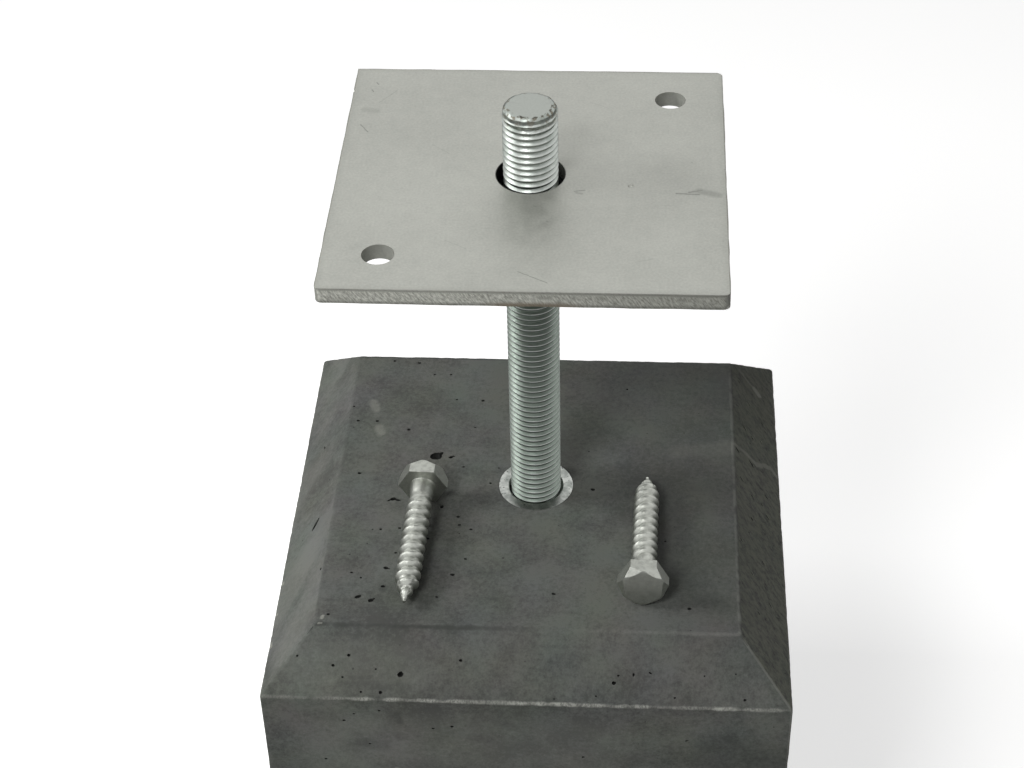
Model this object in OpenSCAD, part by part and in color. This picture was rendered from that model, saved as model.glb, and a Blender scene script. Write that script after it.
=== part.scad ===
// Concrete post footing: a cast block with a socket in its top, a threaded rod that stands in the
// socket, a plate for the post that a nut holds at its height, and two coach screws for the plate.
// Millimetres, +Z up. The origin is the centre of the block's foot.

/* [Concrete block] */
// Width of the square block below its shoulder
block_w = 200; // [180:1:260]
// Height of the block, from its foot to the flat top
block_h = 200; // [150:5:500]
// How far each bevel of the head runs in
bevel_run = 20; // [10:0.5:30]
// How far each bevel of the head drops
bevel_drop = 19.5; // [5:0.5:40]
// Radius of the four upright corners
block_corner_r = 2.5; // [1:0.5:8]
// Size of the small bevel around the foot
foot_bevel = 3; // [1:0.5:8]

/* [Cast-in socket] */
// Outer diameter of the socket
socket_d = 30; // [27:0.5:40]
// Length of the socket
socket_l = 100; // [95:1:130]
// Depth of the threaded hole in the socket
socket_depth = 68; // [62:1:70]
// Diameter of the countersunk mouth
mouth_d = 22; // [21:0.25:25]
// Depth of the countersink
mouth_depth = 1.5; // [0.5:0.25:3]
// Diameter of the bar through the foot of the socket
cross_bar_d = 10; // [6:0.5:12]
// Length of that bar
cross_bar_l = 110; // [60:1:150]
// Height of the bar's axis above the lower end of the socket
cross_bar_rise = 10; // [8:0.5:12]

/* [Threaded rod] */
// Diameter over the thread
rod_d = 20; // [16:0.5:20]
// Height of the rod's upper end above the concrete
rod_rise = 180; // [170:1:260]
// Length of thread that is screwed into the socket
rod_grip = 60; // [30:1:61]
// Chamfer at each end of the rod
rod_chamfer = 2; // [0.5:0.25:3]

/* [Nut and washer] */
// Width of the nut across its flats
nut_af = 30; // [27:0.5:36]
// Height of the nut
nut_h = 16; // [10:0.5:20]
// Diameter of the nut's flat ends, inside their chamfers
nut_end_d = 28.5; // [25.5:0.25:30]
// Outer diameter of the washer
washer_d = 37; // [32:0.5:50]
// Diameter of the hole in the washer
washer_hole_d = 21; // [20.5:0.25:23]
// Thickness of the washer
washer_t = 3; // [1.5:0.25:5]

/* [Post plate] */
// Width of the square plate
plate_w = 140; // [120:1:160]
// Thickness of the plate
plate_t = 6; // [4:0.5:12]
// Height of the plate's upper face above the concrete
plate_rise = 151; // [60:1:165]
// Diameter of the clearance hole for the rod
plate_hole_d = 25; // [22:0.5:28]
// Diameter of each screw hole
screw_hole_d = 11.5; // [10.5:0.25:14]
// Distance between the two screw holes, measured along one side of the plate
screw_hole_pitch = 100; // [80:1:108]
// Radius of the three rounded corners
plate_corner_r = 2.5; // [0.5:0.25:8]

/* [Coach screws] */
// Diameter over the thread
screw_d = 10; // [8:0.5:10]
// Diameter of the core between the threads
screw_core_d = 7.2; // [5:0.1:7.5]
// Length under the head
screw_l = 60; // [50:1:66]
// Length of the plain neck under the head
screw_neck_l = 5; // [2:0.5:12]
// Length of the pointed tip
screw_tip_l = 10; // [6:0.5:14]
// Pitch of the thread
screw_pitch = 4.5; // [3:0.25:6]
// Width of the head across its flats
screw_af = 17; // [13:0.5:17]
// Height of the head
screw_head_h = 7; // [5:0.25:9]
// Diameter of the flat end of the head, inside its chamfer
screw_end_d = 15; // [10:0.25:15.5]
// Distance of the left screw's head from the left edge of the flat top
left_screw_in_x = 35.5; // [25:0.5:40]
// Distance of the left screw's head from the front edge of the flat top
left_screw_in_y = 68; // [66:0.5:80]
// Turn of the left screw, seen from above
left_screw_turn = 177.9; // [170:0.1:190]
// Distance of the right screw's head from the right edge of the flat top
right_screw_in_x = 36.5; // [25:0.5:40]
// Distance of the right screw's head from the front edge of the flat top
right_screw_in_y = 20.5; // [12:0.5:30]
// Turn of the right screw, seen from above
right_screw_turn = -1.3; // [-10:0.1:10]

/* [Clearances] */
// Gap around steel that is cast into the concrete
cast_gap = 0.05; // [0.02:0.01:0.2]
// Radial gap between the rod's thread and the threads that run on it
thread_gap = 0.08; // [0.02:0.01:0.1]
// Gap between faces that turn on each other
turn_gap = 0.05; // [0.02:0.01:0.2]
// Gap under each screw where it rests on the concrete
rest_gap = 0.05; // [0.02:0.01:0.2]

/* [Hidden] */
$fn = 64;
cut = 1;
flat_top_w = block_w - 2 * bevel_run;
socket_foot_z = block_h - socket_l;
cross_bar_z = socket_foot_z + cross_bar_rise;
thread_hole_d = rod_d + 2 * thread_gap;
rod_l = rod_rise + rod_grip;
plate_z = block_h + plate_rise - plate_t;
washer_z = plate_z - turn_gap - washer_t;
nut_z = washer_z - turn_gap - nut_h;
nut_chamfer_angle = 30;
drill_point_angle = 59;
screw_chamfer_angle = 30;
screw_sides = 16;
screw_rows_per_turn = 8;
screw_point_d = 0.8;
screw_sink = 1;
// How far the ridge of the screws' thread spreads to each side of its crest, in pitches
ridge_spread = 0.25;
// Below 1, the screws' tip swells out of a plain cone
tip_power = 0.8;
// A lying screw touches the concrete with the edge of its head and the last full turn of its thread
screw_full_l = screw_l - screw_tip_l;
screw_lie = atan((screw_af - screw_d) / 2 / screw_full_l);

module concrete_block() {
    color("#5a5d5b")
    difference() {
        block_body();
        translate([0, 0, socket_foot_z])
            cylinder(h = socket_l + cut, d = socket_d + 2 * cast_gap);
        translate([0, 0, cross_bar_z])
            rotate([0, 90, 0])
                cylinder(h = cross_bar_l, d = cross_bar_d + 2 * cast_gap, center = true);
    }
}

// The block is what two bevelled profiles and the rounded plan have in common
module block_body() {
    intersection() {
        profile_prism();
        rotate([0, 0, 90])
            profile_prism();
        linear_extrude(block_h)
            rounded_square(block_w, block_corner_r);
    }
}

module profile_prism() {
    half = block_w / 2;
    translate([0, half, 0])
        rotate([90, 0, 0])
            linear_extrude(block_w)
                polygon([
                    [-half + foot_bevel, 0], [half - foot_bevel, 0], [half, foot_bevel],
                    [half, block_h - bevel_drop], [flat_top_w / 2, block_h],
                    [-flat_top_w / 2, block_h], [-half, block_h - bevel_drop], [-half, foot_bevel]
                ]);
}

module rounded_square(width, radius) {
    square([width - 2 * radius, width], center = true);
    square([width, width - 2 * radius], center = true);
    for (x = [-1, 1], y = [-1, 1])
        translate([x * (width / 2 - radius), y * (width / 2 - radius)])
            circle(r = radius);
}

module threaded_socket() {
    point_h = thread_hole_d / 2 / tan(drill_point_angle);
    color("#a9adac")
    difference() {
        translate([0, 0, socket_foot_z])
            cylinder(h = socket_l, d = socket_d);
        translate([0, 0, block_h - socket_depth])
            cylinder(h = socket_depth + cut, d = thread_hole_d);
        translate([0, 0, block_h - socket_depth - point_h])
            cylinder(h = point_h, d1 = 0, d2 = thread_hole_d);
        translate([0, 0, block_h - mouth_depth])
            cylinder(h = mouth_depth, d1 = thread_hole_d, d2 = mouth_d);
        translate([0, 0, cross_bar_z])
            rotate([0, 90, 0])
                cylinder(h = socket_d + 2 * cut, d = cross_bar_d + 2 * cast_gap, center = true);
    }
}

module socket_cross_bar() {
    color("#8c8f8e")
    translate([0, 0, cross_bar_z])
        rotate([0, 90, 0])
            cylinder(h = cross_bar_l, d = cross_bar_d, center = true);
}

module threaded_rod() {
    r = rod_d / 2;
    color("#c3c8c8")
    translate([0, 0, block_h - rod_grip])
        rotate_extrude()
            polygon([
                [0, 0], [r - rod_chamfer, 0], [r, rod_chamfer],
                [r, rod_l - rod_chamfer], [r - rod_chamfer, rod_l], [0, rod_l]
            ]);
}

module levelling_nut() {
    color("#b4b8b8")
    translate([0, 0, nut_z])
    difference() {
        intersection() {
            hexagon(nut_af, nut_h);
            chamfered_disc(nut_end_d, nut_af, nut_h, nut_chamfer_angle, true);
        }
        translate([0, 0, -cut])
            cylinder(h = nut_h + 2 * cut, d = thread_hole_d);
    }
}

module hexagon(across_flats, height) {
    cylinder(h = height, d = across_flats / cos(30), $fn = 6);
}

// A disc wide enough for a hexagon's corners, with its upper rim, or both rims, chamfered
module chamfered_disc(flat_d, across_flats, height, angle, both_rims) {
    corner_r = across_flats / cos(30) / 2 + cut;
    drop = (corner_r - flat_d / 2) * tan(angle);
    lower_r = both_rims ? flat_d / 2 : corner_r;
    lower_drop = both_rims ? drop : 0;
    rotate_extrude()
        polygon([
            [0, 0], [lower_r, 0], [corner_r, lower_drop],
            [corner_r, height - drop], [flat_d / 2, height], [0, height]
        ]);
}

module levelling_washer() {
    color("#b4b8b8")
    translate([0, 0, washer_z])
    difference() {
        cylinder(h = washer_t, d = washer_d);
        translate([0, 0, -cut])
            cylinder(h = washer_t + 2 * cut, d = washer_hole_d);
    }
}

module post_plate() {
    hole_at = screw_hole_pitch / 2;
    color("#b9bdbc")
    translate([0, 0, plate_z])
    difference() {
        linear_extrude(plate_t)
            plate_outline();
        translate([0, 0, -cut])
            cylinder(h = plate_t + 2 * cut, d = plate_hole_d);
        for (side = [-1, 1])
            translate([side * hole_at, side * hole_at, -cut])
                cylinder(h = plate_t + 2 * cut, d = screw_hole_d);
    }
}

// The shear left the back left corner square
module plate_outline() {
    rounded_square(plate_w, plate_corner_r);
    translate([-plate_w / 2, 0])
        square(plate_w / 2);
}

// The screw upright: its head above z = 0, its shank below
module coach_screw() {
    color("#bfc2c0")
    union() {
        intersection() {
            hexagon(screw_af, screw_head_h);
            chamfered_disc(screw_end_d, screw_af, screw_head_h, screw_chamfer_angle, false);
        }
        screw_shank();
    }
}

// Height of the thread over one turn, from 0 at its root to 1 at its crest
function ridge(turns) =
    let (from_crest = abs(turns - floor(turns) - 1 / 2))
    max(0, 1 - from_crest / ridge_spread);
// How much of its full radius the shank has at a distance below the head
function tip_share(distance) =
    min(1, (screw_l - distance) / screw_tip_l);
// Radius of the shank at a distance below the head and an angle around it
function shank_r(distance, angle) =
    let (
        thread = ridge((distance - screw_neck_l) / screw_pitch - angle / 360),
        threaded = screw_core_d / 2 + (screw_d - screw_core_d) / 2 * thread,
        full = distance <= screw_neck_l ? screw_d / 2 : threaded
    )
    max(screw_point_d / 2, full * pow(max(0, tip_share(distance)), tip_power));

module screw_shank() {
    row_h = screw_pitch / screw_rows_per_turn;
    thread_rows = floor((screw_l - screw_neck_l) / row_h);
    distances = concat(
        [-screw_sink, screw_neck_l],
        [for (row = [1:thread_rows - 1]) screw_neck_l + row * row_h],
        [screw_l]
    );
    rows = len(distances);
    points = [
        for (distance = distances, side = [0:screw_sides - 1])
            let (
                angle = side * 360 / screw_sides,
                r = shank_r(distance, angle)
            )
            [r * cos(angle), r * sin(angle), -distance]
    ];
    walls = [
        for (row = [0:rows - 2], side = [0:screw_sides - 1])
            let (
                next = (side + 1) % screw_sides,
                a = row * screw_sides + side,
                b = row * screw_sides + next,
                c = a + screw_sides,
                d = b + screw_sides
            )
            each [[a, d, c], [a, b, d]]
    ];
    head_cap = [for (side = [screw_sides - 1:-1:0]) side];
    tip_cap = [for (side = [0:screw_sides - 1]) (rows - 1) * screw_sides + side];
    polyhedron(points, concat([head_cap], walls, [tip_cap]));
}

// Lays a screw on a flat of its head, its tip towards +Y before the turn
module lying_screw(head_at, turn) {
    translate([head_at[0], head_at[1], block_h + rest_gap])
        rotate([0, 0, turn])
            translate([0, 0, screw_af / 2 * cos(screw_lie)])
                rotate([90 - screw_lie, 0, 0])
                    coach_screw();
}

module coach_screw_left() {
    lying_screw([-flat_top_w / 2 + left_screw_in_x, -flat_top_w / 2 + left_screw_in_y], left_screw_turn);
}

module coach_screw_right() {
    lying_screw([flat_top_w / 2 - right_screw_in_x, -flat_top_w / 2 + right_screw_in_y], right_screw_turn);
}

concrete_block();
threaded_socket();
socket_cross_bar();
threaded_rod();
levelling_nut();
levelling_washer();
post_plate();
coach_screw_left();
coach_screw_right();
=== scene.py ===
"""Concrete post footing: models and finishes the pieces that show, around the CAD frame."""

import math
import random
from contextlib import contextmanager
from functools import partial

import bmesh
import bpy
from bpy.props import FloatProperty, FloatVectorProperty, IntProperty, PointerProperty
from mathutils import Matrix, Vector


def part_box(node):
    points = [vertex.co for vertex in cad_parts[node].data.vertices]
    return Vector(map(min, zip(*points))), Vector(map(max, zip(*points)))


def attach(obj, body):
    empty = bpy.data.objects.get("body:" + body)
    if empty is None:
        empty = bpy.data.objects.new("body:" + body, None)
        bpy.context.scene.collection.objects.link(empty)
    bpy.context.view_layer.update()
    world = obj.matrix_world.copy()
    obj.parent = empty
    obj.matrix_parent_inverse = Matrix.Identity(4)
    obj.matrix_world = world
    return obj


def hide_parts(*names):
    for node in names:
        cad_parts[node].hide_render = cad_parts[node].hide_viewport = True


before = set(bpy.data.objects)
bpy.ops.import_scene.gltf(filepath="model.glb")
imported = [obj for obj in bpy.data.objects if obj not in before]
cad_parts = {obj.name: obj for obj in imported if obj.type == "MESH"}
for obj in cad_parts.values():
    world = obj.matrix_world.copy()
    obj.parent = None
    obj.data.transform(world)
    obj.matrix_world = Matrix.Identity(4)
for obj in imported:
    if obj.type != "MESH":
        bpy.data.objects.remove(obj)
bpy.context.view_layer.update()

bl_info = {
    "name": "Concrete Post Footing",
    "version": (1, 0, 0),
    "blender": (4, 5, 0),
    "location": "View3D > Sidebar > Footing",
    "description": "Models a concrete post footing with its rod, plate and coach screws",
    "category": "Add Mesh",
}

MM = 0.001
FULL_TURN = 2 * math.pi
BLOCK_LOW, BLOCK_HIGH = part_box("concrete_block")
ROD_LOW, ROD_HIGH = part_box("threaded_rod")
PLATE_LOW, PLATE_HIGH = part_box("post_plate")
SOCKET_LOW, SOCKET_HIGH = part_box("threaded_socket")
NUT_LOW, NUT_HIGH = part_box("levelling_nut")
WASHER_LOW, WASHER_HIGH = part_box("levelling_washer")
BAR_LOW, BAR_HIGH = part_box("socket_cross_bar")
BAR_LEVEL = (BAR_LOW.z + BAR_HIGH.z) / 2
# Radius of the socket's and the nut's bore
THREAD_BORE = 10.08 * MM
# Play between two pieces that would touch
SLACK = 0.05 * MM
# Points closer than this are one
MERGE_GAP = 1e-6
# The camera's, in mm
SENSOR_WIDTH = 36

# Air holes in the flat top: x, y, length and width in mm, and turn in degrees
TOP_HOLES = (
    (-41.8, 15.9, 5.4, 4.4, 10), (-35.6, 15.5, 2.2, 1.5, 30), (-56.9, -10.4, 2.8, 1.8, 20),
    (-68.2, 37.2, 1.7, 1.4, 0), (-54.5, 32.1, 1.7, 1.4, 0), (-72.1, 4.6, 1.7, 1.4, 0),
    (-37.0, -14.2, 2.0, 1.5, 60), (-30.1, -19.8, 1.7, 1.4, 0), (-29.2, -24.4, 1.4, 1.2, 0),
    (-24.5, -26.8, 1.4, 1.2, 0), (23.0, -2.1, 2.0, 1.6, 0), (-56.0, -49.4, 2.2, 1.7, 0),
    (-65.1, -65.3, 2.9, 1.6, 35), (-60.0, -67.1, 2.4, 1.8, 25), (-56.1, -59.4, 1.9, 1.4, 0),
    (-29.9, -52.2, 2.0, 1.5, 0), (9.5, -61.2, 1.8, 1.4, 0), (61.1, -67.3, 1.8, 1.5, 0),
    (-64.6, 77.0, 1.5, 1.2, 0), (-53.8, 76.0, 1.7, 1.2, 0), (-39.6, 68.5, 1.4, 1.1, 0),
    (-46.6, 68.4, 1.2, 1.0, 0), (-35.8, 52.0, 1.3, 1.1, 0), (-24.8, 51.6, 1.7, 1.3, 0),
    (-26.9, 34.2, 1.1, 0.9, 0), (-79.0, 46.4, 1.4, 1.1, 0), (-76.2, 37.2, 1.5, 1.2, 0),
    (-18.4, 0.4, 1.4, 1.1, 0), (-15.6, 9.6, 1.1, 0.9, 0), (-41.2, -32.6, 1.5, 1.3, 0),
    (-25.5, -43.4, 1.4, 1.1, 0), (-35.0, -64.4, 1.3, 1.1, 0), (-52.7, -27.1, 1.4, 1.2, 0),
    (-53.0, -41.0, 1.2, 1.0, 0), (-60.2, -28.0, 1.3, 1.1, 0), (-30.0, 9.8, 1.2, 1.0, 0),
    (-69.0, -52.4, 1.4, 1.1, 0), (-65.1, -55.1, 1.2, 1.0, 0), (-75.4, -74.9, 1.5, 1.2, 0),
    (36.0, 61.0, 1.2, 1.0, 0), (52.0, -31.0, 1.1, 0.9, 0),
)
# Smaller holes that run into those, for a ragged outline
JOINED_HOLES = (
    (-54.9, -10.9, 2.4, 1.3, -10), (-58.6, -11.3, 1.6, 0.9, 35), (-34.4, 16.1, 1.2, 0.9, 0),
    (-58.9, -66.3, 1.3, 0.9, 40), (-54.9, -49.8, 1.2, 0.8, 0), (-40.0, 17.3, 3.0, 1.6, 50),
)
# Air holes in the bevels, in the same way; turn is in the slope, from its level line
BEVEL_HOLES = (
    (-66.6, -88.3, 1.4, 1.2, 0), (-72.4, -91.1, 1.4, 1.2, 0), (-68.7, -94.2, 1.0, 0.8, 0),
    (-46.9, -93.0, 2.4, 2.0, 30), (-54.2, -98.0, 1.4, 1.2, 0), (-61.6, -98.0, 1.0, 0.8, 0),
    (-24.4, -88.9, 1.4, 1.1, 0), (-56.2, -91.8, 0.9, 0.7, 0), (33.2, -93.8, 1.6, 1.4, 0),
    (34.8, -91.8, 1.0, 0.8, 0), (40.5, -91.5, 1.4, 0.9, 80), (46.7, -90.9, 1.4, 0.7, -40),
    (66.9, -91.3, 0.8, 0.6, 0), (78.5, -90.6, 0.8, 0.6, 0), (56.0, -97.3, 1.0, 0.8, 0),
    (82.0, -97.4, 1.2, 1.0, 0), (26.6, -97.4, 0.9, 0.7, 0), (-86.1, -88.8, 1.1, 0.9, 20),
    (-81.6, -49.3, 1.4, 1.1, 0), (-88.0, -18.0, 6.6, 1.7, -32), (-90.5, 31.0, 1.4, 1.1, 0),
    (81.9, 25.9, 3.4, 1.4, 45), (87.9, 23.9, 4.6, 1.2, 45), (83.3, 9.5, 3.2, 1.1, 45),
    (87.8, 62.1, 3.4, 0.9, 45), (85.5, 43.5, 4.0, 1.1, 45), (88.8, 40.9, 2.4, 1.2, 45),
    (92.8, 42.7, 2.4, 1.1, 45), (87.7, 36.4, 1.4, 1.0, 45), (87.7, 3.5, 4.4, 0.9, 45),
    (93.8, 10.3, 3.4, 0.9, 45), (91.6, 3.3, 2.2, 1.1, 45), (93.9, -1.9, 3.0, 1.2, 45),
    (87.0, -10.0, 2.6, 1.3, 45), (85.5, -19.5, 1.6, 1.0, 45), (82.0, -27.0, 2.6, 1.0, 45),
    (91.0, -31.0, 3.0, 0.9, 45), (86.0, -42.0, 2.0, 1.0, 45), (93.0, -52.0, 3.4, 1.0, 45),
    (88.0, -61.0, 2.2, 1.1, 45), (84.0, 72.0, 2.4, 0.9, 45), (93.5, 56.0, 2.8, 0.9, 45),
)
# Air holes in the front side: x, height below the flat top, length, width and turn
SIDE_HOLES = (
    (-27.7, 33.6, 1.5, 1.3, 0), (-68.7, 31.7, 1.4, 1.2, 0), (-64.6, 27.8, 1.1, 0.9, 0),
    (-34.9, 35.0, 1.3, 1.0, 0), (-59.6, 44.7, 1.2, 1.0, 0), (-77.3, 54.3, 1.3, 1.1, 0),
    (-55.0, 25.7, 1.2, 1.0, 0), (22.0, 49.0, 1.3, 1.1, 0), (61.0, 38.0, 1.2, 1.0, 0),
)
# Strokes on the concrete: start and end in mm, z from the flat top, width, strength
PALE_STROKES = (
    ((58, 21.5, 0), (79, 25.5, 0), 12, 0.12), ((60, 24.2, 0), (79.5, 27.4, 0), 3, 0.14),
    ((80.6, 28, -0.5), (86.1, 27.5, -5.9), 3, 0.5),
    ((86.1, 27.5, -5.9), (90, 25.8, -9.7), 3, 0.6),
    ((90, 25.8, -9.7), (96.2, 30.6, -15.8), 3.4, 0.6),
    ((96.2, 30.6, -15.8), (99.4, 28.1, -18.9), 3, 0.6),
    ((84, 80, -4), (90.4, 75, -10.2), 2.4, 0.4),
    ((90.6, 75.2, -10.4), (92.7, 73.4, -12.4), 4, 0.95),
    ((-77.7, -77.2, 0), (-77.3, -75.8, 0), 1.7, 0.75),
    ((-78.6, -79.8, 0), (-77.5, -79.5, 0), 1.3, 0.5), ((-71, 49, 0), (-69.5, 45, 0), 6, 0.3),
    ((-67, 33, 0), (-66, 30, 0), 6, 0.3), ((-99.6, -41, -19), (-99, -41, -18.6), 2.6, 0.6),
    ((-99.4, -74, -18.8), (-99, -75, -18.6), 3, 0.6),
    ((-99.4, -58, -18.9), (-99, -58.5, -18.6), 2.2, 0.5),
    ((-50, -100, -59), (-47, -100, -60.5), 3, 0.4),
    # These two are broad painted light: lighter on the left of the front bevel and across the
    # front side
    ((-84, -91, -10.7), (-45, -91, -10.7), 30, 0.12),
    ((-70, -100, -44), (25, -100, -44), 50, 0.12),
)
DARK_STROKES = (
    ((-48.6, -100, -28), (-47.4, -100, -31.6), 5, 0.3),
    ((-48, -100, -39), (-48, -100, -40.4), 6, 0.22),
    ((-20, -100, -39), (-15, -100, -40.5), 8, 0.22),
    ((-6.6, -100, -32.3), (-4, -100, -33), 6, 0.24),
    ((-62, -100, -44), (-54, -100, -46), 9, 0.22), ((-56, -61.5, 0), (-55.5, -60, 0), 4.5, 0.4),
    ((-70, -96, -15.5), (-44, -96.5, -16), 4.5, 0.2),
    ((-57.5, -94, -13.5), (-66, -94.3, -14), 2.5, 0.2),
    # Broad painted shade on this line: darker on the right of the front side and of the flat top
    ((72, -100, -46), (95, -100, -52), 32, 0.3), ((62, -62, 0), (62, 75, 0), 60, 0.22),
)
# Strokes on the plate's upper face, z from that face
PLATE_STROKES = (
    ((56.5, -10.2, 0), (61, -8.8, 0), 1.4, 0.5), ((52, -11, 0), (60, -11.5, 0), 1.2, 0.5),
    ((60, -9.4, 0), (66.5, -11.6, 0), 5, 0.35), ((16, -10.6, 0), (19.5, -9.8, 0), 1, 0.5),
    ((16.6, -11.4, 0), (18.6, -12, 0), 1.6, 0.35),
    ((-1.6, -58.5, 0), (8.6, -64.5, 0), 0.55, 0.55), ((2, -20, 0), (2.6, -20.2, 0), 1, 0.3),
    ((6.8, -29, 0), (7.2, -29.2, 0), 0.9, 0.3), ((-61.6, 60, 0), (-60.8, 58.6, 0), 0.8, 0.5),
    ((-63, 54.8, 0), (-62.2, 53.4, 0), 0.8, 0.5), ((-64.6, 30.6, 0), (-61.4, 25.6, 0), 0.8, 0.5),
    ((-59.2, 45.9, 0), (-53.4, 54.4, 0), 0.6, 0.25), ((-64, 41, 0), (-60, 40, 0), 5, 0.2),
    ((57.6, 8.6, 0), (58, 8.3, 0), 0.9, 0.35), ((35.7, -6.8, 0), (36.1, -6.8, 0), 1.7, 0.6),
    ((20, 48, 0), (27, 44, 0), 0.5, 0.2), ((-30, 12, 0), (-37, 18, 0), 0.5, 0.2),
    ((-20, -46, 0), (-28, -41, 0), 0.5, 0.18), ((38, -52, 0), (44, -50, 0), 0.5, 0.2),
)
# Knocks out of the plate's rim and its punch mark: x, y, height over the plate's foot, radius
PLATE_KNOCKS = (
    (-70, 54, 6, 1.0), (70, 4.5, 6, 0.7), (69.6, -70, 1, 1.3), (-69.4, -70, 5.6, 0.8),
    (35.9, -6.8, 6.35, 1.15))
# Holes through the plate, for the rod and for two screws: x, y and radius in mm
PLATE_DRILLS = ((0, 0, 12.5), (50, 50, 5.75), (-50, -50, 5.75))
# Where each screw lies on the block: x and y in mm, and turn in degrees
SCREW_PLACES = (("left", -44.5, -12, 177.9), ("right", 43.5, -59.5, -1.3))


# ---- Values a user would change ----


def length(name, description, size_mm):
    """A value that the panel shows as a length."""
    return FloatProperty(
        name=name, description=description, default=size_mm * MM, unit="LENGTH")


def tint(name, description, *shares):
    """A value that the panel shows as a colour."""
    return FloatVectorProperty(
        name=name, description=description + ", in sRGB", default=shares, size=3,
        subtype="COLOR_GAMMA")


class FootingConcreteValues(bpy.types.PropertyGroup):
    """Sizes and colours of the cast block"""

    bevel_run: length("Bevel run", "How far each bevel of the head runs in", 20)
    bevel_drop: length("Bevel drop", "How far each bevel of the head drops", 19.5)
    arris: length("Arris", "Width of the softened edges", 0.9)
    chipping: length("Chipping", "How deep the edges are worn at most", 0.2)
    cells: IntProperty(
        name="Cells", description="Grid cells along each long edge", default=136, min=20)
    colour: tint("Concrete", "Middle colour of the concrete", 0.335, 0.343, 0.327)


class FootingRodValues(bpy.types.PropertyGroup):
    """Sizes and colours of the rod, its socket, the nut and the washer"""

    pitch: length("Pitch", "Distance between two crests of the rod's thread", 2.5)
    thread_depth: length("Thread depth", "From the crests to the roots", 1.0)
    steps: IntProperty(
        name="Steps", description="Faces around one turn of the thread", default=48, min=12)
    zinc: tint("Bright zinc", "Colour of the bright zinc plating", 0.78, 0.8, 0.78)


class FootingPlateValues(bpy.types.PropertyGroup):
    """Sizes and colours of the post plate"""

    corner: length("Corner radius", "Radius of the three rounded corners", 2.5)
    rim: length("Rim", "Width of the softened rims", 0.5)
    zinc: tint("Galvanised sheet", "Colour of the galvanised sheet", 0.718, 0.723, 0.694)


class FootingScrewValues(bpy.types.PropertyGroup):
    """Sizes and colours of the coach screws"""

    pitch: length("Pitch", "Distance between two crests of the screws' thread", 4.5)
    core: length("Core", "Diameter between the threads", 7.4)
    zinc: tint("Galvanised screw", "Colour of the galvanised screws", 0.78, 0.79, 0.76)


class FootingStageValues(bpy.types.PropertyGroup):
    """Camera, lamps and floor"""

    eye: FloatVectorProperty(
        name="Eye", description="Where the camera stands",
        default=(0.03633, -0.63547, 0.78431), size=3, subtype="TRANSLATION", unit="LENGTH")
    heading: FloatProperty(
        name="Heading", description="The camera's turn away from +Y, to the left",
        default=math.radians(4.053), subtype="ANGLE")
    tilt: FloatProperty(
        name="Tilt", description="How far the camera looks down",
        default=math.radians(39.849), subtype="ANGLE")
    roll: FloatProperty(
        name="Roll", description="The camera's roll",
        default=math.radians(-1.465), subtype="ANGLE")
    lens: FloatProperty(
        name="Lens", description="Focal length on a 36 mm wide sensor, in mm", default=75.17)
    window: FloatProperty(
        name="Window", description="Power of the soft light from the left, in watts",
        default=3.6)
    lamp: FloatProperty(
        name="Lamp", description="Power of the soft light from the front, in watts", default=14.0)
    glint: FloatProperty(
        name="Glint", description="Power of the lights that only metal shows, in watts",
        default=2.0)
    ambient: FloatProperty(
        name="Ambient", description="Strength of the light from all sides", default=0.1)
    front: FloatProperty(
        name="Front", description="How bright metal sees the room in front of it", default=0.8)
    floor: tint("Floor", "Colour of the floor", 0.93, 0.93, 0.925)


# ---- Modelling helpers ----


def activate(obj):
    """Leaves obj alone selected and active."""
    bpy.ops.object.select_all(action="DESELECT")
    bpy.context.view_layer.objects.active = obj
    obj.select_set(True)


def added(name, add, **settings):
    """Adds a primitive, names it and moves its place into its mesh."""
    bpy.ops.object.select_all(action="DESELECT")
    add(**settings)
    obj = bpy.context.object
    obj.name = name
    obj.data.name = name
    bpy.ops.object.transform_apply(location=True, rotation=True, scale=True)
    return obj


@contextmanager
def editing(obj, kind, first="DESELECT"):
    """Edit mode on obj, with nothing selected, or all of it where first is SELECT."""
    activate(obj)
    bpy.ops.object.mode_set(mode="EDIT")
    bpy.ops.mesh.select_mode(type=kind)
    bpy.ops.mesh.select_all(action=first)
    yield
    bpy.ops.object.mode_set(mode="OBJECT")


def select_where(test):
    """In edit mode, selects just the vertices, edges or faces that pass the test."""
    bpy.ops.mesh.select_all(action="DESELECT")
    mesh = bpy.context.object.data
    shape = bmesh.from_edit_mesh(mesh)
    vert_mode, edge_mode, _ = bpy.context.tool_settings.mesh_select_mode
    for part in shape.verts if vert_mode else shape.edges if edge_mode else shape.faces:
        if test(part):
            part.select_set(True)
    shape.select_flush_mode()
    bmesh.update_edit_mesh(mesh)


def middle(edge):
    """The edge's middle."""
    return (edge.verts[0].co + edge.verts[1].co) / 2


def along(edge):
    """The edge's direction, as the share of each axis."""
    way = (edge.verts[1].co - edge.verts[0].co).normalized()
    return Vector(abs(x) for x in way)


def apply_modifier(obj, kind, **settings):
    """Adds a modifier with its settings, and applies it."""
    activate(obj)
    modifier = obj.modifiers.new(kind.title(), kind)
    for key, value in settings.items():
        setattr(modifier, key, value)
    bpy.ops.object.modifier_apply(modifier=modifier.name)


def combine(obj, tool, operation):
    """Applies a Boolean of obj with tool, and deletes tool."""
    apply_modifier(obj, "BOOLEAN", object=tool, operation=operation, solver="EXACT")
    bpy.data.objects.remove(tool)


def tidy_mesh(obj):
    """Merges doubles and turns all faces outwards."""
    with editing(obj, "VERT", "SELECT"):
        bpy.ops.mesh.remove_doubles(threshold=MERGE_GAP)
        bpy.ops.mesh.normals_make_consistent(inside=False)


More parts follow.
